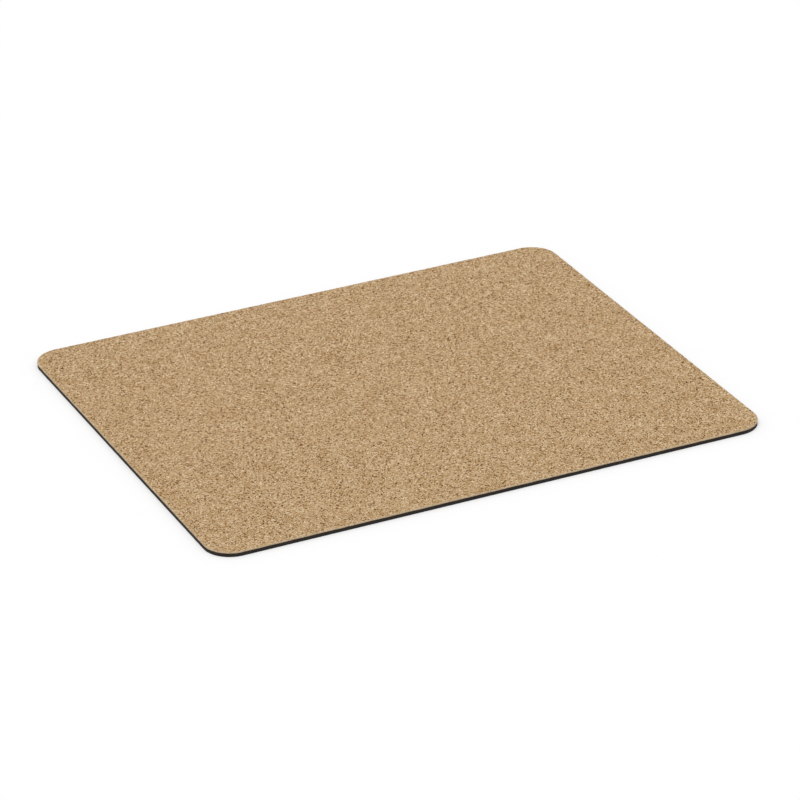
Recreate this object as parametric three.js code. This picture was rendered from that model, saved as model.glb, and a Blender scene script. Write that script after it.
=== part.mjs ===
// Mouse pad: a thin cork sheet bonded to a black non-slip foam base, die-cut as one laminate.
// Millimetres, +Z up. X runs along the longer side. The origin is the middle of the underside.
import * as THREE from 'three';

// Outline, shared by every layer because one die cuts them together
const PAD_LENGTH = 220;
const PAD_WIDTH = 180;
const CORNER_RADIUS = 10.5;
const CORNER_STEPS = 12;

// Thickness of each layer, from the desk up
const BASE_THICKNESS = 1.4;
const FILM_THICKNESS = 0.1;
const CORK_THICKNESS = 0.5;

// Finishes
const CORK_FINISH = { color: 0xb89c78, roughness: 0.85, metalness: 0 };
const FILM_FINISH = { color: 0xcdbf9a, roughness: 0.4, metalness: 0 };
const BASE_FINISH = { color: 0x232021, roughness: 0.75, metalness: 0 };

// Rectangle with a quarter arc at each corner, drawn anticlockwise from the lower right arc.
function padOutline() {
  const arcX = PAD_LENGTH / 2 - CORNER_RADIUS;
  const arcY = PAD_WIDTH / 2 - CORNER_RADIUS;
  const quarter = Math.PI / 2;
  const outline = new THREE.Shape();
  outline.absarc(arcX, -arcY, CORNER_RADIUS, -quarter, 0);
  outline.absarc(arcX, arcY, CORNER_RADIUS, 0, quarter);
  outline.absarc(-arcX, arcY, CORNER_RADIUS, quarter, 2 * quarter);
  outline.absarc(-arcX, -arcY, CORNER_RADIUS, 2 * quarter, 3 * quarter);
  outline.closePath();
  return outline;
}

// One layer of the laminate: the outline raised by its thickness, with its lower face at the height given.
function layer(name, thickness, height, finish) {
  const geometry = new THREE.ExtrudeGeometry(padOutline(), {
    depth: thickness,
    curveSegments: CORNER_STEPS,
    bevelEnabled: false,
  });
  const mesh = new THREE.Mesh(geometry, new THREE.MeshStandardMaterial(finish));
  mesh.name = name;
  mesh.position.z = height;
  return mesh;
}

// Each layer lies face to face on the one below it.
const filmHeight = BASE_THICKNESS;
const corkHeight = filmHeight + FILM_THICKNESS;

const mousePad = new THREE.Group();
mousePad.add(layer('foam_base', BASE_THICKNESS, 0, BASE_FINISH));
mousePad.add(layer('adhesive_film', FILM_THICKNESS, filmHeight, FILM_FINISH));
mousePad.add(layer('cork_sheet', CORK_THICKNESS, corkHeight, CORK_FINISH));

export default mousePad;
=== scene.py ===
"""Looks of a mouse pad: a fine cork sheet bonded to a black non-slip foam base, on a white studio floor.

All places are in metres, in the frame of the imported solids: X runs along the longer side, +Z is up, and the
underside lies at z = 0.
"""

import logging
import math
from dataclasses import dataclass, field
from enum import Enum
from typing import Any

import bpy
import numpy as np
from mathutils import Matrix, Vector


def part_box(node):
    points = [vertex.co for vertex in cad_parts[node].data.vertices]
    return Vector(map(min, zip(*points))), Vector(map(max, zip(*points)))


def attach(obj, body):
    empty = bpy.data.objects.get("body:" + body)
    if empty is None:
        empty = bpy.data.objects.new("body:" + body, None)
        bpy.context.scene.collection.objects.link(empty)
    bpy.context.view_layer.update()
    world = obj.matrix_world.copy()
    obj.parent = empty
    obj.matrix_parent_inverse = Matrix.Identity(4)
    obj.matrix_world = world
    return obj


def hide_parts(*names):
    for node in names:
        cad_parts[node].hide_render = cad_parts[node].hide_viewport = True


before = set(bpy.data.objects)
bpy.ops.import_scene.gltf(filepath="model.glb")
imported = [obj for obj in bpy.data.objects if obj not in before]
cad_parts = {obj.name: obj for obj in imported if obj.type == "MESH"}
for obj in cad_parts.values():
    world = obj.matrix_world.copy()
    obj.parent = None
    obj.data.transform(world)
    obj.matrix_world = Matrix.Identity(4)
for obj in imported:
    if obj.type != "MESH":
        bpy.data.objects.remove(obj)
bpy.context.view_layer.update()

Array = np.ndarray
Colour = tuple[float, float, float, float]
Socket = bpy.types.NodeSocket

MM = 0.001
QUARTER_TURN = math.pi / 2
IMAGE_SIDE_PX = 800
BODY = "root"
SHARP_ANGLE = math.radians(40)

# The skin's attribute that is 1 on the cut edge and 0 on the faces
CUT_EDGE = "cut_edge"

# The skin's map that the finish can be baked through
BAKE_MAP = "OFBake"

# What an input's name starts with where a number gives its place, as on a node with several of one name
PLACE_PREFIX = "in_"

# Places of a mix node's results, which share one name
MIXED_VECTOR = 1
MIXED_COLOUR = 2

# Octaves of a cloudy noise, and the values that most of it lies between
CLOUDY = 3.0
NOISE_LOW = 0.3
NOISE_HIGH = 0.7

# Transfer curve of sRGB, whose channels run from 0 to the top
SRGB_TOP = 255
SRGB_KNEE = 0.04045
SRGB_TOE = 12.92
SRGB_OFFSET = 0.055
SRGB_POWER = 2.4

log = logging.getLogger("mouse_pad")


class Layer(Enum):
    """The layers of the laminate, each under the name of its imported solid."""

    FOAM = "foam_base"
    ADHESIVE = "adhesive_film"
    CORK = "cork_sheet"


class Slot(Enum):
    """The pad's material slots."""

    FOAM = "foam"
    ADHESIVE = "adhesive"
    CORK = "cork"


class Side(Enum):
    """The flat faces of a layer: what x is multiplied by to draw the face as it is seen."""

    UPPER = 1
    LOWER = -1


# Shader helpers


def linear(hex_colour: str) -> Colour:
    """Turns an sRGB hex colour into linear RGBA.

    A channel c from 0 to 1 becomes c / toe up to the knee, and above it (c + offset) / (1 + offset), raised
    to the power.

    Args:
        hex_colour: six hex digits, red first.

    Returns:
        The linear red, green and blue, and an alpha of 1.
    """
    srgb = np.frombuffer(bytes.fromhex(hex_colour), np.uint8) / SRGB_TOP
    curve = ((srgb + SRGB_OFFSET) / (1 + SRGB_OFFSET)) ** SRGB_POWER
    rgb = np.where(srgb <= SRGB_KNEE, srgb / SRGB_TOE, curve)
    return (*rgb.tolist(), 1.0)


def add_node(
    tree: bpy.types.NodeTree,
    kind: str,
    settings: dict[str, Any] | None = None,
    stops: list[tuple[float, str]] | None = None,
    **inputs: Any,
) -> bpy.types.Node:
    """Adds a node with its settings and links.

    Args:
        tree: the node tree to add to.
        kind: Blender's name for the kind of node.
        settings: properties to set on the node.
        stops: places and hex colours of a colour ramp.
        inputs: an input's name, with _ for a space, or in_N for the input at place N, to a socket that is
            linked or a value that is set.

    Returns:
        The new node.
    """
    node = tree.nodes.new(kind)
    for name, value in (settings or {}).items():
        setattr(node, name, value)
    if stops:
        elements = node.color_ramp.elements
        while len(elements) < len(stops):
            elements.new(1.0)
        for element, (place, colour) in zip(elements, stops):
            element.position = place
            element.color = linear(colour)
    for name, value in inputs.items():
        number = name.removeprefix(PLACE_PREFIX)
        socket = node.inputs[name.replace("_", " ") if number == name else int(number)]
        if isinstance(value, Socket):
            tree.links.new(value, socket)
        else:
            socket.default_value = value
    return node


def new_material(name: str) -> tuple[bpy.types.Material, bpy.types.NodeTree]:
    """Makes an empty node material.

    Args:
        name: the real material and how it was made.

    Returns:
        The material and its tree.
    """
    material = bpy.data.materials.new(name)
    material.use_nodes = True
    material.node_tree.nodes.clear()
    return material, material.node_tree


def millimetres(tree: bpy.types.NodeTree) -> Socket:
    """Object coordinates counted in millimetres, so that a pattern's scale is one over its real size."""
    place = add_node(tree, "ShaderNodeTexCoord").outputs["Object"]
    return add_node(
        tree, "ShaderNodeVectorMath", {"operation": "SCALE"}, Vector=place, Scale=1 / MM
    ).outputs["Vector"]


# Finishes


@dataclass(frozen=True)
class CorkFinish:
    """Agglomerated cork: ground bark pressed with a binder, sliced into thin sheet and sanded flat.

    To the eye it is a matte tan field of fine granules, each lighter or darker than its neighbours by an
    even grey step, with brown bark specks, pale flecks and a hair of binder between them. Its open cells
    scatter nearly all light, so hardly any gloss is left. The die-cut edge is paler than the sanded face,
    partly as fresh-cut cork and partly as a painted highlight along the edge.

    Attributes:
        granule_mm: width of a granule.
        crumb_mm: width of the crumbs that break up a granule's tone.
        wander_mm: width of the bends in the granules' outlines.
        wander_reach_mm: how far the bends move an outline.
        mottle_mm: width of the slow clouds in the tone.
        binder_mm: how far the binder shows from a granule's outline.
        relief_mm: how far the face falls over one granule's width from its middle.
        crumb_weight: share of the crumb in a spot's tone.
        drift: how far the clouds move the tone.
        binder_cover: share of the binder's colour over the tone where it is thickest.
        speck_share: share of the granules that are bark specks, in whole or in part.
        fleck_share: share of the granules that are pale flecks, in whole or in part.
        pale_cut_and_highlight_cover: share of the cut edge's paler colour, partly fresh-cut cork and partly a
            painted highlight.
        tones: colours of the granules by lightness.
    """

    granule_mm: float = 0.46
    crumb_mm: float = 0.25
    wander_mm: float = 1.3
    wander_reach_mm: float = 0.35
    mottle_mm: float = 7.0
    binder_mm: float = 0.03
    relief_mm: float = 0.04
    crumb_weight: float = 0.5
    drift: float = 0.03
    binder_cover: float = 0.5
    speck_share: float = 0.12
    fleck_share: float = 0.04
    pale_cut_and_highlight_cover: float = 0.7
    dark_roughness: float = 0.92
    pale_roughness: float = 0.78
    specular: float = 0.08
    binder_colour: str = "8a6c49"
    dark_bark_colour: str = "3f1f02"
    bark_colour: str = "6d4212"
    fleck_colour: str = "f0dcbc"
    pale_cut_and_highlight_colour: str = "cab599"
    tones: tuple[tuple[float, str], ...] = (
        (0.00, "663e08"),
        (0.24, "9e7640"),
        (0.50, "c2a47b"),
        (0.76, "d9bd98"),
        (1.00, "f6dfc1"),
    )

    def material(self) -> bpy.types.Material:
        """Builds the cork material.

        Granules and crumbs are the cells of two random patterns, bent a little so that no cell is
        straight-sided.

        Returns:
            The material, which reads the piece's cut-edge attribute.
        """
        material, tree = new_material("sanded_agglomerated_cork")
        place = millimetres(tree)
        wander = add_node(tree, "ShaderNodeTexNoise", Vector=place, Scale=1 / self.wander_mm, Detail=CLOUDY)
        bent = add_node(
            tree,
            "ShaderNodeVectorMath",
            {"operation": "MULTIPLY_ADD"},
            in_0=wander.outputs["Color"],
            in_1=(self.wander_reach_mm,) * 3,
            in_2=place,
        ).outputs["Vector"]
        granules = add_node(tree, "ShaderNodeTexVoronoi", Vector=bent, Scale=1 / self.granule_mm)
        crumbs = add_node(tree, "ShaderNodeTexVoronoi", Vector=bent, Scale=1 / self.crumb_mm)
        seams = add_node(
            tree,
            "ShaderNodeTexVoronoi",
            {"feature": "DISTANCE_TO_EDGE"},
            Vector=bent,
            Scale=1 / self.granule_mm,
        )
        tone = self.tone(tree, place, granules, crumbs)
        dull = add_node(
            tree, "ShaderNodeMapRange", Value=tone, To_Min=self.dark_roughness, To_Max=self.pale_roughness
        )
        surface = add_node(
            tree,
            "ShaderNodeBsdfPrincipled",
            Base_Color=self.colour(tree, tone, granules, seams),
            Roughness=dull.outputs["Result"],
            Specular_IOR_Level=self.specular,
            Normal=self.relief(tree, granules, crumbs),
        )
        add_node(tree, "ShaderNodeOutputMaterial", Surface=surface.outputs["BSDF"])
        return material

    def tone(
        self, tree: bpy.types.NodeTree, place: Socket, granules: bpy.types.Node, crumbs: bpy.types.Node
    ) -> Socket:
        """Lightness from 0 to 1: the mean of a granule's draw and a crumb's, plus a slow drift.

        Each draw is even from 0 to 1, so their mean falls mostly in the middle.

        Args:
            tree: the material's tree.
            place: place on the piece in millimetres.
            granules: cells of the granules.
            crumbs: cells of the crumbs.

        Returns:
            The lightness.
        """
        mean = add_node(
            tree,
            "ShaderNodeMix",
            {"data_type": "RGBA"},
            in_0=self.crumb_weight,
            in_6=granules.outputs["Color"],
            in_7=crumbs.outputs["Color"],
        )
        draw = add_node(tree, "ShaderNodeSeparateColor", Color=mean.outputs[MIXED_COLOUR])
        mottle = add_node(tree, "ShaderNodeTexNoise", Vector=place, Scale=1 / self.mottle_mm, Detail=CLOUDY)
        drift = add_node(
            tree,
            "ShaderNodeMapRange",
            Value=mottle.outputs["Fac"],
            From_Min=NOISE_LOW,
            From_Max=NOISE_HIGH,
            To_Min=-self.drift,
            To_Max=self.drift,
        )
        return add_node(
            tree,
            "ShaderNodeMath",
            {"operation": "ADD"},
            in_0=draw.outputs["Red"],
            in_1=drift.outputs["Result"],
        ).outputs["Value"]

    def colour(
        self, tree: bpy.types.NodeTree, tone: Socket, granules: bpy.types.Node, seams: bpy.types.Node
    ) -> Socket:
        """Colour: the tones, then binder, pale flecks, bark specks and the paler cut edge, partly a painted
        highlight.

        A granule is a fleck or a speck if its draw is under the share, and only in part if the draw is over
        half of it.

        Args:
            tree: the material's tree.
            tone: lightness from 0 to 1.
            granules: cells of the granules, whose draws pick flecks and specks.
            seams: distance to the next granule.

        Returns:
            The colour.
        """
        colour = add_node(tree, "ShaderNodeValToRGB", stops=list(self.tones), Fac=tone).outputs["Color"]
        binder = add_node(
            tree,
            "ShaderNodeMapRange",
            Value=seams.outputs["Distance"],
            From_Max=self.binder_mm / self.granule_mm,
            To_Min=self.binder_cover,
            To_Max=0.0,
        )
        draw = add_node(tree, "ShaderNodeSeparateColor", Color=granules.outputs["Color"])
        fleck, speck = (
            add_node(
                tree,
                "ShaderNodeMapRange",
                Value=draw.outputs[channel],
                From_Min=share / 2,
                From_Max=share,
                To_Min=1.0,
                To_Max=0.0,
            )
            for channel, share in (("Blue", self.fleck_share), ("Green", self.speck_share))
        )
        bark = add_node(
            tree,
            "ShaderNodeValToRGB",
            stops=[(NOISE_LOW, self.dark_bark_colour), (NOISE_HIGH, self.bark_colour)],
            Fac=tone,
        )
        # The cut edge is painted paler: partly fresh-cut cork, partly a painted highlight along the edge
        cut = add_node(tree, "ShaderNodeAttribute", {"attribute_name": CUT_EDGE})
        edge = add_node(
            tree, "ShaderNodeMath", {"operation": "MULTIPLY"}, in_0=cut.outputs["Fac"], in_1=self.pale_cut_and_highlight_cover
        )
        for cover, over in (
            (binder.outputs["Result"], linear(self.binder_colour)),
            (fleck.outputs["Result"], linear(self.fleck_colour)),
            (speck.outputs["Result"], bark.outputs["Color"]),
            (edge.outputs["Value"], linear(self.pale_cut_and_highlight_colour)),
        ):
            colour = add_node(
                tree, "ShaderNodeMix", {"data_type": "RGBA"}, in_0=cover, in_6=colour, in_7=over
            ).outputs[MIXED_COLOUR]
        return colour

    def relief(self, tree: bpy.types.NodeTree, granules: bpy.types.Node, crumbs: bpy.types.Node) -> Socket:
        """Normals of granules that stand as low domes, with crumbs on them and the binder lying deeper.

        Args:
            tree: the material's tree.
            granules: cells of the granules.
            crumbs: cells of the crumbs.

        Returns:
            The normals.
        """
        depth = add_node(
            tree,
            "ShaderNodeMath",
            {"operation": "MULTIPLY_ADD"},
            in_0=crumbs.outputs["Distance"],
            in_1=self.crumb_weight,
            in_2=granules.outputs["Distance"],
        )
        return add_node(
            tree,
            "ShaderNodeBump",
            {"invert": True},
            Strength=1.0,
            Distance=self.relief_mm * MM,
            Height=depth.outputs["Value"],
        ).outputs["Normal"]


@dataclass(frozen=True)
class AdhesiveFinish:
    """Cured contact adhesive, rolled on and pressed.

    To the eye it is a pale, faintly glossy hairline between cork and foam, a little lighter where more of
    it was pressed out.

    Attributes:
        streak_mm: width of the streaks of thinner and thicker glue.
    """

    streak_mm: float = 2.5
    roughness: float = 0.45
    thin_colour: str = "b9a679"
    thick_colour: str = "d9cda6"

    def material(self) -> bpy.types.Material:
        """Builds the adhesive material.

        Returns:
            The material.
        """
        material, tree = new_material("cured_contact_adhesive")
        streaks = add_node(
            tree, "ShaderNodeTexNoise", Vector=millimetres(tree), Scale=1 / self.streak_mm, Detail=CLOUDY
        )
        colour = add_node(
            tree,
            "ShaderNodeValToRGB",
            stops=[(NOISE_LOW, self.thin_colour), (NOISE_HIGH, self.thick_colour)],
            Fac=streaks.outputs["Fac"],
        )
        surface = add_node(
            tree, "ShaderNodeBsdfPrincipled", Base_Color=colour.outputs["Color"], Roughness=self.roughness
        )
        add_node(tree, "ShaderNodeOutputMaterial", Surface=surface.outputs["BSDF"])
        return material


@dataclass(frozen=True)
class FoamFinish:
    """Black closed-cell rubber foam, cured between fabric liners and die-cut.

    To the eye it is a dull near-black. The skin of the underside keeps the liner's fine weave, which grips
    the desk. Its colour is painted lighter on the weave's tops and darker in its pits, as painted light and
    shade. The cut edge shows the cells. Real cells are near 0.1 mm and a real weave repeats every 1 to
    1.5 mm: both are too fine to show, so they are drawn coarser.

    Attributes:
        cell_mm: width of a cell as drawn.
        weave_mm: distance over which the weave repeats, as drawn.
        cloud_mm: width of the slow clouds in the colour.
        weave_relief_mm: height of the weave from pit to bump.
        cell_relief_mm: how far the edge falls over one cell's width from its middle.
        weave_shade: how far the weave's height moves the colour: painted shade in its pits, painted light on
            its tops.
    """

    cell_mm: float = 0.35
    weave_mm: float = 2.4
    cloud_mm: float = 3.0
    weave_relief_mm: float = 0.24
    cell_relief_mm: float = 0.12
    weave_shade: float = 0.45
    skin_roughness: float = 0.6
    cut_roughness: float = 0.8
    specular: float = 0.25
    deep_colour: str = "211d1a"
    worn_colour: str = "2d2724"
    # Painted highlight: the colour that the weave's tops reach, as if lit
    lit_weave_top_colour: str = "4c4541"

    def material(self) -> bpy.types.Material:
        """Builds the foam material.

        Returns:
            The material, which reads the piece's cut-edge attribute.
        """
        material, tree = new_material("black_closed_cell_foam")
        place = millimetres(tree)
        cut = add_node(tree, "ShaderNodeAttribute", {"attribute_name": CUT_EDGE}).outputs["Fac"]
        weave = self.weave(tree, place)
        clouds = add_node(tree, "ShaderNodeTexNoise", Vector=place, Scale=1 / self.cloud_mm, Detail=CLOUDY)
        # Painted light and shade: the weave's height lightens the colour on its tops and darkens it in its
        # pits, on the skin only
        weave_shade = add_node(tree, "ShaderNodeMapRange", Value=cut, To_Min=self.weave_shade, To_Max=0.0)
        clouds_and_weave_shade = add_node(
            tree,
            "ShaderNodeMath",
            {"operation": "MULTIPLY_ADD"},
            in_0=weave,
            in_1=weave_shade.outputs["Result"],
            in_2=clouds.outputs["Fac"],
        )
        colour = add_node(
            tree,
            "ShaderNodeValToRGB",
            stops=[
                (NOISE_LOW, self.deep_colour),
                (NOISE_HIGH, self.worn_colour),
                (1.0, self.lit_weave_top_colour),
            ],
            Fac=clouds_and_weave_shade.outputs["Value"],
        )
        dull = add_node(
            tree, "ShaderNodeMapRange", Value=cut, To_Min=self.skin_roughness, To_Max=self.cut_roughness
        )
        surface = add_node(
            tree,
            "ShaderNodeBsdfPrincipled",
            Base_Color=colour.outputs["Color"],
            Roughness=dull.outputs["Result"],
            Specular_IOR_Level=self.specular,
            Normal=self.relief(tree, place, weave, cut),
        )
        add_node(tree, "ShaderNodeOutputMaterial", Surface=surface.outputs["BSDF"])
        return material

    def weave(self, tree: bpy.types.NodeTree, place: Socket) -> Socket:
        """Height of the weave imprint from -1 to 1: the sine of x times that of y, bump and pit in turn.

        Args:
            tree: the material's tree.
            place: place on the piece in millimetres.

        Returns:
            The height.
        """
        turns = add_node(
            tree,
            "ShaderNodeVectorMath",
            {"operation": "SCALE"},
            Vector=place,
            Scale=2 * math.pi / self.weave_mm,
        )
        waves = add_node(tree, "ShaderNodeVectorMath", {"operation": "SINE"}, in_0=turns.outputs["Vector"])
        axes = add_node(tree, "ShaderNodeSeparateXYZ", Vector=waves.outputs["Vector"])
        return add_node(
            tree,
            "ShaderNodeMath",
            {"operation": "MULTIPLY"},
            in_0=axes.outputs["X"],
            in_1=axes.outputs["Y"],
        ).outputs["Value"]

    def relief(self, tree: bpy.types.NodeTree, place: Socket, weave: Socket, cut: Socket) -> Socket:
        """Normals: the weave imprint on the skin, and on the cut edge cells that stand as low domes.

        Args:
            tree: the material's tree.
            place: place on the piece in millimetres.
            weave: height of the weave imprint from -1 to 1.
            cut: 1 on the cut edge and 0 on the skin.

        Returns:
            The normals.
        """
        imprint = add_node(
            tree, "ShaderNodeBump", Strength=1.0, Distance=self.weave_relief_mm * MM / 2, Height=weave
        )
        cells = add_node(tree, "ShaderNodeTexVoronoi", Vector=place, Scale=1 / self.cell_mm)
        domes = add_node(
            tree,
            "ShaderNodeBump",
            {"invert": True},
            Strength=1.0,
            Distance=self.cell_relief_mm * MM,
            Height=cells.outputs["Distance"],
        )
        return add_node(
            tree,
            "ShaderNodeMix",
            {"data_type": "VECTOR"},
            in_0=cut,
            in_4=imprint.outputs["Normal"],
            in_5=domes.outputs["Normal"],
        ).outputs[MIXED_VECTOR]


# Shapes


@dataclass(frozen=True)
class PadOutline:
    """Rounded rectangle that one die cuts through every layer.

    It is walked anticlockwise in four quarters, each a corner's arc and then a straight side, from where
    the front side meets the right front corner.

    Attributes:
        half_length: half of the longer side.
        half_width: half of the shorter side.
        radius: radius of the corners.
        step: distance between two points of a skin's rings, fine enough for torn granules.
    """

    half_length: float
    half_width: float
    radius: float = 10.5 * MM
    step: float = 0.4 * MM

    @property
    def halves(self) -> Array:
        """Half of the length and half of the width."""
        return np.array([self.half_length, self.half_width])

    @property
    def reach(self) -> Array:
        """How far the arcs' centres lie from the middle, along X and along Y."""
        return self.halves - self.radius

    @property
    def arc(self) -> float:
        """Length of one corner's arc."""
        return self.radius * QUARTER_TURN

    @property
    def starts(self) -> Array:
        """Distances at which the four quarters start, and after them the whole way round."""
        sides = 2 * np.tile(self.reach[::-1], 2)
        return np.concatenate([[0.0], np.cumsum(self.arc + sides)])

    @property
    def perimeter(self) -> float:
        """Length of the whole way round."""
        return float(self.starts[-1])

    def way(self) -> Array:
        """Distances round the outline at even steps."""
        count = round(self.perimeter / self.step)
        return np.arange(count) * self.perimeter / count

    def quarter(self, way: Array) -> Array:
        """Number from 0 to 3 of the quarter that each distance lies in."""
        return np.searchsorted(self.starts[1:-1], way, side="right")

    def walk(self, way: Array) -> tuple[Array, Array]:
        """Places on the outline.

        With s the distance walked in a quarter, the outward direction has turned by min(s, arc) / radius,
        and the rest of s goes straight on: the place is the arc's centre, plus radius times the outward
        direction, plus max(s - arc, 0) times the tangent.

        Args:
            way: distances round the outline.

        Returns:
            The places and the outward directions, each an array of rows of x and y.
        """
        quarter = self.quarter(way)
        walked = way - self.starts[quarter]
        angle = (quarter - 1) * QUARTER_TURN + np.minimum(walked, self.arc) / self.radius
        outward = np.stack([np.cos(angle), np.sin(angle)], axis=1)
        tangent = np.stack([-outward[:, 1], outward[:, 0]], axis=1)
        centres = self.reach * np.array([[1, -1], [1, 1], [-1, 1], [-1, -1]])
        straight = np.maximum(walked - self.arc, 0)[:, None]
        return centres[quarter] + self.radius * outward + straight * tangent, outward


@dataclass(frozen=True)
class BakeLayout:
    """Where a layer's skin lies on the square map that its finish can be baked through.

    The face that shows takes most of the map, so that its grain stays sharp. The cut edge lies under it in
    four strips, one for each quarter of the outline, and the hidden face has a small patch in the corner.

    Attributes:
        outline: the pad's outline.
        shown: the face that shows.
        margin: free border of the map, as a share of its side, like the sizes that follow.
        patch: width of the hidden face.
        strip: height of a strip of the cut edge.
        gap: distance between two strips.
    """

    outline: PadOutline
    shown: Side
    margin: float = 0.01
    patch: float = 0.07
    strip: float = 0.02
    gap: float = 0.006

    @property
    def inner(self) -> float:
        """Width of the map between its margins."""
        return 1 - 2 * self.margin

    def face(self, points: Array, side: Side) -> Array:
        """Places of a flat face's points: the middle of its place on the map, plus x and y scaled.

        Args:
            points: x, y and z of the points, in the last axis.
            side: the face that they lie on.

        Returns:
            The places, in the last axis.
        """
        width = self.inner if side is self.shown else self.patch
        scale = width / (2 * self.outline.half_length)
        inset = self.margin + scale * self.outline.halves
        middle = 1 - inset if side is self.shown else inset
        return middle + scale * points[..., :2] * (side.value, 1)

    def edge(self, way: Array, depth: Array, quarter: Array) -> Array:
        """Places of the cut edge's points: the distance walked in the quarter, and the height in its strip.

        Args:
            way: distances round the outline.
            depth: from 0 at the upper rim to 1 at the lower.
            quarter: the quarters that the points' faces start in.

        Returns:
            The places, in the last axis.
        """
        starts = self.outline.starts
        walked = (way - starts[quarter]) % self.outline.perimeter
        across = self.margin + self.inner * walked / np.diff(starts).max()
        foot = self.margin + self.patch + quarter * (self.strip + self.gap)
        return np.stack(np.broadcast_arrays(across, foot + self.strip * (1 - depth)), axis=-1)


def ring_quads(rings: int, around: int) -> Array:
    """Quads that join each closed ring of points to the next.

    Ring r's point k is vertex r * around + k. The quads face outwards on rings that run anticlockwise from
    the top down, and upwards on level ones that run anticlockwise from the middle out.

    Args:
        rings: number of rings.
        around: number of points on each.

    Returns:
        The quads' vertices, on axes of ring, point and corner.
    """
    here = np.arange(around)
    after = (here + 1) % around
    row = np.arange(rings - 1)[:, None] * around
    return np.stack([row + here, row + around + here, row + around + after, row + after], axis=2)


def pole_fan(pole: int, ring: Array) -> Array:
    """Triangles that join a pole to each step of a closed ring of vertices."""
    return np.stack([np.full(len(ring), pole), ring, np.roll(ring, -1)], axis=1)


@dataclass(frozen=True)
class Raggedness:
    """Random unevenness of a cut.

    Attributes:
        depth: how deep the deepest nick can be.
        grain: distance between two draws.
        power: how rare the deep nicks are.
        seed: seed of the draws.
    """

    depth: float
    grain: float
    power: float
    seed: int

    def along(self, way: Array, outline: PadOutline) -> Array:
        """Depth of the nicks round the outline.

        A draw for each grain of the way is raised to the power, so that a high power leaves few deep nicks,
        and points between two draws lie on the straight line between them.

        Args:
            way: distances round the outline.
            outline: the outline, after whose length the draws repeat.

        Returns:
            One depth for each distance.
        """
        count = round(outline.perimeter / self.grain)
        draws = np.random.default_rng(self.seed).random(count) ** self.power
        places = np.arange(count) * outline.perimeter / count
        return self.depth * np.interp(way, places, draws, period=outline.perimeter)


@dataclass(frozen=True)
class EdgeProfile:
    """Section of a cut edge, in rings from the upper rim down.

    Attributes:
        inset: how far each point lies inside the outline, with a row for each ring and a column for each
            distance round it.
        height: height of each ring.
    """

    inset: Array
    height: Array


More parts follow.
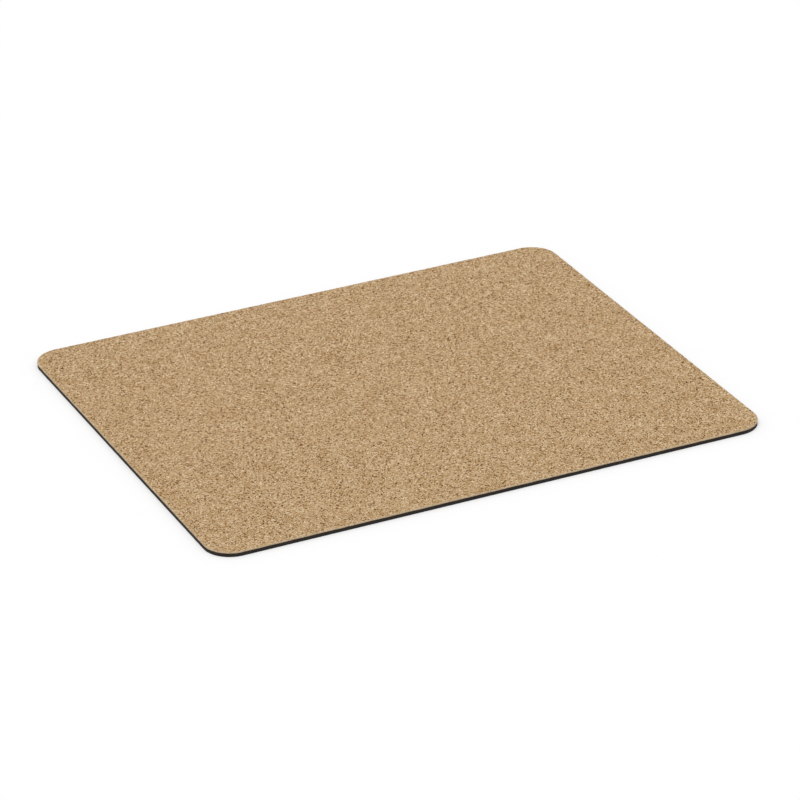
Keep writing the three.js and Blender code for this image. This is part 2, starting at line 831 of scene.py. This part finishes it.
@dataclass
class PadLayer:
    """One die-cut layer: two flat faces, and a cut edge whose section is carried round the outline.

    Attributes:
        layer: which layer it is.
        slot: its material slot; not used.
        finish: its finish.
        shown: the face that shows.
        face_rings: number of rings on a flat face, with its rim.
        crowding: how closely the rings on a face crowd at its rim.
        outline: the pad's outline.
        low: height of the lower face.
        high: height of the upper face.
    """

    layer: Layer
    slot: Slot
    finish: CorkFinish | AdhesiveFinish | FoamFinish
    shown: Side = Side.UPPER
    face_rings: int = 4
    crowding: float = 3.0
    outline: PadOutline = field(init=False)
    low: float = field(init=False)
    high: float = field(init=False)

    def __post_init__(self) -> None:
        """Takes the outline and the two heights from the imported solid."""
        low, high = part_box(self.layer.value)
        self.outline = PadOutline(high.x, high.y)
        self.low = low.z
        self.high = high.z

    def edge(self, way: Array) -> EdgeProfile:
        """Section of the cut edge at each distance round the outline: here a plain wall."""
        return EdgeProfile(np.zeros((2, len(way))), np.array([self.high, self.low]))

    def rings(self, way: Array) -> Array:
        """Points of the skin, in closed rings.

        They run from the middle of the upper face to its rim, down the cut edge, and in to the middle of
        the lower face. Ring k on a face is the rim times 1 - (1 - k / face_rings) to the power of crowding,
        so that rings crowd at the rim and keep its rounding from shading the flat.

        Args:
            way: distances round the outline.

        Returns:
            The points, on axes of ring, distance and coordinate.
        """
        place, outward = self.outline.walk(way)
        edge = self.edge(way)
        cut = place - outward * edge.inset[..., None]
        ring = np.arange(1, self.face_rings)[:, None, None]
        share = 1 - (1 - ring / self.face_rings) ** self.crowding
        flat = np.concatenate([cut[0] * share, cut, cut[-1] * share[::-1]])
        height = np.pad(edge.height, len(share), "edge")
        return np.dstack([flat, np.tile(height[:, None], len(way))])

    def build(self) -> bpy.types.Object:
        """Builds the layer's closed skin, marks its cut edge, spreads it on its map and dresses it.

        Returns:
            The object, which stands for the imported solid.
        """
        way = self.outline.way()
        around = len(way)
        rings = self.rings(way)
        poles = np.array([[0, 0, self.high], [0, 0, self.low]])
        points = np.concatenate([rings.reshape(-1, 3), poles])
        quads = ring_quads(len(rings), around)
        first = np.arange(around)
        last = first + (len(rings) - 1) * around
        upper_fan = pole_fan(len(points) - 2, first)
        lower_fan = pole_fan(len(points) - 1, last[::-1])
        mesh = bpy.data.meshes.new(self.layer.value + "_skin")
        mesh.from_pydata(
            points.tolist(), [], [*quads.reshape(-1, 4).tolist(), *upper_fan.tolist(), *lower_fan.tolist()]
        )

        upper_rim = self.face_rings - 1
        lower_rim = len(rings) - self.face_rings
        upper, wall, lower = np.split(quads, [upper_rim, lower_rim])
        on_edge = np.zeros(len(points))
        on_edge[wall[1:, :, 0]] = 1
        mesh.attributes.new(CUT_EDGE, "FLOAT", "POINT").data.foreach_set("value", on_edge)

        layout = BakeLayout(self.outline, self.shown)
        depth = (wall // around - upper_rim) / len(wall)
        spots = (
            layout.face(points[upper], Side.UPPER),
            layout.edge(way[wall % around], depth, self.outline.quarter(way)[:, None]),
            layout.face(points[lower], Side.LOWER),
            layout.face(points[upper_fan], Side.UPPER),
            layout.face(points[lower_fan], Side.LOWER),
        )
        spread = np.concatenate([spot.reshape(-1, 2) for spot in spots])
        mesh.uv_layers.new(name=BAKE_MAP).uv.foreach_set("vector", spread.ravel())
        return self.dress(mesh)

    def dress(self, mesh: bpy.types.Mesh) -> bpy.types.Object:
        """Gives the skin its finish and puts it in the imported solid's place.

        Args:
            mesh: the layer's skin.

        Returns:
            The object that wears it.
        """
        mesh.polygons.foreach_set("use_smooth", np.ones(len(mesh.polygons), bool))
        mesh.set_sharp_from_angle(angle=SHARP_ANGLE)
        mesh.materials.append(self.finish.material())
        piece = bpy.data.objects.new(self.layer.value + "_look", mesh)
        bpy.context.scene.collection.objects.link(piece)
        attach(piece, BODY)
        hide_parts(self.layer.value)
        return piece


@dataclass
class CorkSheet(PadLayer):
    """Cork top sheet: the die rolls its upper rim down a little and tears granules out of the edge.

    Attributes:
        roll: radius of the rolled rim.
        roll_steps: number of rings on the roll.
        wall_steps: number of rings on the wall below it, with the roll's last.
        torn: the torn granules.
    """

    roll: float = 0.14 * MM
    roll_steps: int = 6
    wall_steps: int = 5
    torn: Raggedness = Raggedness(depth=0.16 * MM, grain=0.8 * MM, power=3.0, seed=11)

    def edge(self, way: Array) -> EdgeProfile:
        """Section of the edge: a quarter circle rolls over from the face, then the wall goes straight down.

        At an angle a on the roll the inset is roll times (1 - sin a), and the drop is roll times
        (1 - cos a). Torn granules move the roll and the wall inwards, most at the upper rim.

        Args:
            way: distances round the outline.

        Returns:
            The section.
        """
        angle = np.linspace(0, QUARTER_TURN, self.roll_steps)
        wall = np.linspace(self.high - self.roll, self.low, self.wall_steps)[1:]
        height = np.concatenate([self.high - self.roll * (1 - np.cos(angle)), wall])
        inset = np.concatenate([self.roll * (1 - np.sin(angle)), np.zeros(len(wall))])
        rise = (height - self.low) / (self.high - self.low)
        return EdgeProfile(inset[:, None] + rise[:, None] * self.torn.along(way, self.outline), height)


@dataclass
class AdhesiveLine(PadLayer):
    """Glue line between cork and foam: pressed out nearly to the edge, unevenly.

    Attributes:
        retreat: how far the glue lies back from the cut.
    """

    face_rings: int = 1
    retreat: Raggedness = Raggedness(depth=0.12 * MM, grain=3.0 * MM, power=1.0, seed=23)

    def edge(self, way: Array) -> EdgeProfile:
        """Section of the edge: a plain wall that lies back from the cut by an uneven amount."""
        wall = super().edge(way)
        return EdgeProfile(wall.inset + self.retreat.along(way, self.outline), wall.height)


@dataclass
class FoamBase(PadLayer):
    """Foam base: squeezed by the die as it was cut, so that its edge springs back slightly hollow.

    Attributes:
        fill: how full and tight the foam is, from 0 to 1; not used.
        hollow: how far the middle of the edge lies inside the outline.
        foot: radius of the rounding at the underside.
        wall_steps: number of rings on the hollow wall.
        foot_steps: number of rings on the rounding, with the wall's last.
        torn: the torn cells.
    """

    shown: Side = Side.LOWER
    fill: float = 1.0
    hollow: float = 0.08 * MM
    foot: float = 0.06 * MM
    wall_steps: int = 9
    foot_steps: int = 5
    torn: Raggedness = Raggedness(depth=0.05 * MM, grain=0.6 * MM, power=1.0, seed=37)

    def edge(self, way: Array) -> EdgeProfile:
        """Section of the edge: a hollow wall, then a quarter circle round to the underside.

        Down the wall, from 0 to 1, the inset is hollow times the sine of half a turn. On the foot, at an
        angle a, the inset is foot times (1 - cos a) and the height is foot times (1 - sin a) above the
        underside. Torn cells move all of it inwards.

        Args:
            way: distances round the outline.

        Returns:
            The section.
        """
        down = np.linspace(0, 1, self.wall_steps)
        angle = np.linspace(0, QUARTER_TURN, self.foot_steps)[1:]
        ankle = self.low + self.foot
        height = np.concatenate([self.high + down * (ankle - self.high), ankle - self.foot * np.sin(angle)])
        inset = np.concatenate([self.hollow * np.sin(math.pi * down), self.foot * (1 - np.cos(angle))])
        return EdgeProfile(inset[:, None] + self.torn.along(way, self.outline), height)

    def dress(self, mesh: bpy.types.Mesh) -> bpy.types.Object:
        """Args:
            mesh: the base's skin.

        Returns:
            The object that wears it.
        """
        piece = super().dress(mesh)
        return piece


# Studio


def seen(tree: bpy.types.NodeTree, path: bpy.types.Node) -> Socket:
    """Which rays see the studio as plain white: the camera's, and those that gloss or glass sends on.

    Args:
        tree: the node tree to add to.
        path: its light path.

    Returns:
        1 for those rays and 0 for the rest.
    """
    rays = path.outputs["Is Camera Ray"]
    for kind in ("Is Glossy Ray", "Is Transmission Ray"):
        rays = add_node(
            tree, "ShaderNodeMath", {"operation": "MAXIMUM"}, in_0=rays, in_1=path.outputs[kind]
        ).outputs["Value"]
    return rays


@dataclass(frozen=True)
class StudioFloor:
    """White floor, cut out under the pad so that its underside is lit and shows in views from below.

    Attributes:
        reflectance: share of light that the paint gives back.
        drop: how far the floor lies below the underside.
        overlap: how far it reaches in under the pad.
        spread: how far out each ring of its mesh lies, as a multiple of the pad's outline.
        step: distance between two points of its inner rim.
    """

    reflectance: float = 0.8
    drop: float = 0.05 * MM
    overlap: float = 0.3 * MM
    spread: tuple[float, ...] = (1.0, 2.0, 8.0, 40.0)
    step: float = 3.0 * MM

    def build(self, outline: PadOutline) -> bpy.types.Object:
        """Builds the floor: rings that are the pad's outline times a growing share.

        Args:
            outline: the pad's outline.

        Returns:
            The floor.
        """
        way = np.arange(0, outline.perimeter, self.step)
        place, outward = outline.walk(way)
        flat = (place - outward * self.overlap) * np.array(self.spread)[:, None, None]
        rings = np.pad(flat, ((0, 0), (0, 0), (0, 1)), constant_values=-self.drop)
        quads = ring_quads(len(rings), len(way))
        mesh = bpy.data.meshes.new("studio_floor")
        mesh.from_pydata(rings.reshape(-1, 3).tolist(), [], quads.reshape(-1, 4).tolist())
        mesh.materials.append(self.material())
        floor = bpy.data.objects.new("studio_floor", mesh)
        bpy.context.scene.collection.objects.link(floor)
        return floor

    def material(self) -> bpy.types.Material:
        """White paint that reads as plain white where fully lit, keeps shadows, and is clear from below.

        Returns:
            The material: where it is seen, it adds a glow that makes up for the light that the paint takes.
        """
        material, tree = new_material("white_studio_paint")
        path = add_node(tree, "ShaderNodeLightPath")
        side = add_node(tree, "ShaderNodeNewGeometry")
        paint = add_node(tree, "ShaderNodeBsdfDiffuse", Color=(self.reflectance,) * 3 + (1.0,))
        lift = add_node(
            tree,
            "ShaderNodeMath",
            {"operation": "MULTIPLY"},
            in_0=seen(tree, path),
            in_1=1 - self.reflectance,
        )
        glow = add_node(tree, "ShaderNodeEmission", Strength=lift.outputs["Value"])
        lit = add_node(
            tree, "ShaderNodeAddShader", in_0=paint.outputs["BSDF"], in_1=glow.outputs["Emission"]
        )
        below = add_node(
            tree,
            "ShaderNodeMath",
            {"operation": "MULTIPLY"},
            in_0=path.outputs["Is Camera Ray"],
            in_1=side.outputs["Backfacing"],
        )
        clear = add_node(tree, "ShaderNodeBsdfTransparent")
        shown = add_node(
            tree,
            "ShaderNodeMixShader",
            in_0=below.outputs["Value"],
            in_1=lit.outputs["Shader"],
            in_2=clear.outputs["BSDF"],
        )
        add_node(tree, "ShaderNodeOutputMaterial", Surface=shown.outputs["Shader"])
        return material


def direction(azimuth_deg: float, elevation_deg: float) -> Vector:
    """Unit vector from the pad towards a place.

    Args:
        azimuth_deg: angle round the pad, with 0 at -Y and 90 at +X.
        elevation_deg: angle above the floor.

    Returns:
        The unit vector.
    """
    azimuth = math.radians(azimuth_deg)
    elevation = math.radians(elevation_deg)
    level = math.cos(elevation)
    return Vector((math.sin(azimuth) * level, -math.cos(azimuth) * level, math.sin(elevation)))


@dataclass(frozen=True)
class StudioLight:
    """A wide, even softbox overhead and a white room, which together light a level white face to white.

    Attributes:
        key_level: the softbox's share of that light.
        key_azimuth_deg: angle of the softbox round the pad.
        key_elevation_deg: its angle above the floor.
        key_width_deg: how wide it looks from the pad.
        room_colour: colour of the room.
    """

    key_level: float = 0.4
    key_azimuth_deg: float = -40.0
    key_elevation_deg: float = 68.0
    key_width_deg: float = 50.0
    room_colour: str = "ffffff"

    def softbox(self) -> bpy.types.Object:
        """Builds the softbox, as a sun with a wide face so that the floor is lit evenly.

        A sun of strength S at an elevation e lights a level white face to about S sin(e) / pi.

        Returns:
            The lamp.
        """
        towards = direction(self.key_azimuth_deg, self.key_elevation_deg)
        lamp = bpy.data.lights.new("softbox", "SUN")
        lamp.angle = math.radians(self.key_width_deg)
        lamp.energy = self.key_level * math.pi / towards.z
        softbox = bpy.data.objects.new("softbox", lamp)
        softbox.rotation_euler = towards.to_track_quat("Z", "Y").to_euler()
        bpy.context.scene.collection.objects.link(softbox)
        return softbox

    def room(self) -> bpy.types.World:
        """Builds the room: white where it is seen, and giving the rest of the light elsewhere.

        Returns:
            The world.
        """
        world = bpy.data.worlds.new("white_room")
        bpy.context.scene.world = world
        world.use_nodes = True
        tree = world.node_tree
        tree.nodes.clear()
        path = add_node(tree, "ShaderNodeLightPath")
        strength = add_node(
            tree, "ShaderNodeMapRange", Value=seen(tree, path), To_Min=1 - self.key_level, To_Max=1.0
        )
        room = add_node(
            tree,
            "ShaderNodeBackground",
            Color=linear(self.room_colour),
            Strength=strength.outputs["Result"],
        )
        add_node(tree, "ShaderNodeOutputWorld", Surface=room.outputs["Background"])
        return world


@dataclass(frozen=True)
class StudioCamera:
    """Camera at the photograph's viewing angle, found by fitting the pad's outline.

    Attributes:
        azimuth_deg: angle round the pad.
        elevation_deg: angle above the floor.
        roll_deg: how far the camera is turned about its own line of sight.
        distance: distance from the origin, along the line of sight.
        aside: how far it is moved to its own right.
        lower: how far it is moved down, against its own up.
        focal_px: focal length in pixels of the image.
        sensor_mm: width of the sensor.
    """

    azimuth_deg: float = -24.95
    elevation_deg: float = 26.63
    roll_deg: float = -1.18
    distance: float = 1.5494
    aside: float = 3.26 * MM
    lower: float = 2.48 * MM
    focal_px: float = 4147.0
    sensor_mm: float = 36.0

    def build(self) -> bpy.types.Object:
        """Builds the camera and makes it the scene's.

        Returns:
            The camera.
        """
        back = direction(self.azimuth_deg, self.elevation_deg)
        level = Vector((0, 0, 1)).cross(back).normalized()
        right = Matrix.Rotation(math.radians(self.roll_deg), 3, back) @ level
        up = back.cross(right)
        place = back * self.distance + right * self.aside - up * self.lower
        lens = bpy.data.cameras.new("studio_camera")
        lens.sensor_width = self.sensor_mm
        lens.lens = self.focal_px * self.sensor_mm / IMAGE_SIDE_PX
        camera = bpy.data.objects.new("studio_camera", lens)
        camera.matrix_world = Matrix.Translation(place) @ Matrix((right, up, back)).transposed().to_4x4()
        bpy.context.scene.collection.objects.link(camera)
        bpy.context.scene.camera = camera
        return camera


def main() -> None:
    """Builds the pad from the desk up, then the studio round it."""
    logging.basicConfig(level=logging.INFO, format="%(name)s: %(message)s")
    bpy.context.scene.view_settings.view_transform = "Standard"
    foam = FoamBase(Layer.FOAM, Slot.FOAM, FoamFinish())
    glue = AdhesiveLine(Layer.ADHESIVE, Slot.ADHESIVE, AdhesiveFinish())
    cork = CorkSheet(Layer.CORK, Slot.CORK, CorkFinish())
    for layer in (foam, glue, cork):
        piece = layer.build()
        log.info("%s: %d faces", piece.name, len(piece.data.polygons))
    floor = StudioFloor().build(foam.outline)
    log.info("%s: %d faces", floor.name, len(floor.data.polygons))
    light = StudioLight()
    softbox = light.softbox()
    room = light.room()
    log.info("%s: strength %.2f, in %s", softbox.name, softbox.data.energy, room.name)
    camera = StudioCamera().build()
    log.info("%s: lens of %.0f mm", camera.name, camera.data.lens)


if __name__ == "__main__":
    main()
